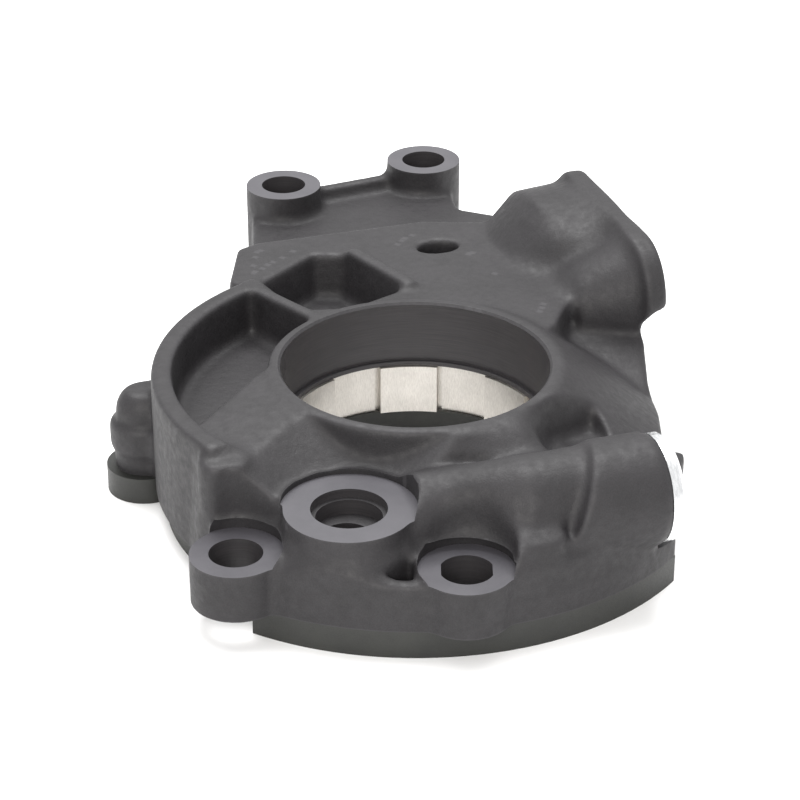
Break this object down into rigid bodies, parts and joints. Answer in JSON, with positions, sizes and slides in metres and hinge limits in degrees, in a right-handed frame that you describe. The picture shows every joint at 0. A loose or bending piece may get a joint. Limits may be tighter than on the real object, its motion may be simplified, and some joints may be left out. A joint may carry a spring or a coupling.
{
  "type": "engine oil pump",
  "caption": "Crank-driven gerotor oil pump: cast housing round a large crank bore, rear cover, outlet and pickup ports, relief valve and mounting bosses.",
  "frame": {"origin": "on the crank axis at the rear cover's back face", "axes": "+Z along the crank axis towards the pump's front, +X along the relief valve towards its plug, the way the pickup port faces"},
  "size_m": [0.1164, 0.1785, 0.04],
  "materials": {
    "casting": "black hard anodised die-cast aluminium, satin",
    "cover": "black anodised plate, satin",
    "rotor_steel": "ground sintered steel",
    "valve_steel": "ground steel",
    "plug_metal": "bright turned",
    "screw_steel": "zinc plated",
    "seal_rubber": "matte"
  },
  "bodies": {
    "pump_body": {"housing": "casting", "rear_cover": "cover", "relief_plug": "plug_metal", "relief_plug_seal": "seal_rubber", "relief_spring": "valve_steel", "cover_screws": "screw_steel", "cover_dowels": "valve_steel"},
    "inner_gear": {"inner_rotor": "rotor_steel"},
    "outer_gear": {"outer_rotor": "rotor_steel"},
    "valve_piston": {"relief_piston": "valve_steel"}
  },
  "joints": [
    {"name": "outer_rotor_spin", "type": "hinge", "parent": "pump_body", "child": "outer_gear", "pos_m": [0.00272, 0.00127, 0.01075], "axis": [0, 0, 1], "continuous": true},
    {"name": "inner_rotor_spin", "type": "hinge", "parent": "pump_body", "child": "inner_gear", "pos_m": [0, 0, 0.01075], "axis": [0, 0, 1], "continuous": true},
    {"name": "relief_piston_slide", "type": "slide", "parent": "pump_body", "child": "valve_piston", "axis": [1, 0, 0], "range_m": [0, 0.005], "stiffness_N_per_m": 4000, "springref_m": -0.01, "deforming": ["relief_spring"]}
  ],
  "couplings": [
    {"joint": "inner_rotor_spin", "follows": "outer_rotor_spin", "ratio": 1.1}
  ]
}
